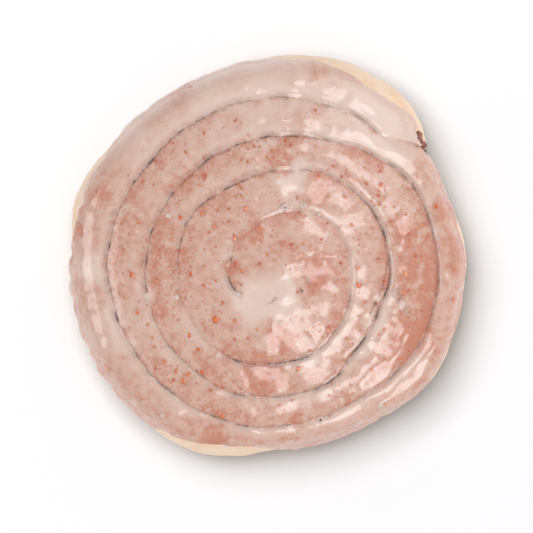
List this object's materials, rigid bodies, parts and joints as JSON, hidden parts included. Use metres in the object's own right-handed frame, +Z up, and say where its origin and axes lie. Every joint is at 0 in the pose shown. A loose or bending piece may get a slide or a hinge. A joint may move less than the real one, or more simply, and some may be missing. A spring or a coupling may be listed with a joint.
{
  "type": "cinnamon roll",
  "caption": "Round glazed cinnamon roll: a strip of raised dough rolled up on cinnamon filling, with icing over its top and upper side.",
  "frame": {"origin": "middle of the footprint, on the surface the roll stands on", "axes": "+Z up out of the top of the roll, +X to the right and +Y to the top of the picture, which looks straight down"},
  "size_m": [0.1254, 0.1262, 0.0328],
  "materials": {
    "dough": "baked yeast dough, pale at the waist and browned at the foot",
    "filling": "dark cinnamon and sugar paste",
    "icing": "thin glossy sugar glaze, ivory where it pools and browned where it is thin"
  },
  "bodies": {
    "root": {"dough": "dough", "filling": "filling", "icing": "icing"}
  },
  "joints": []
}
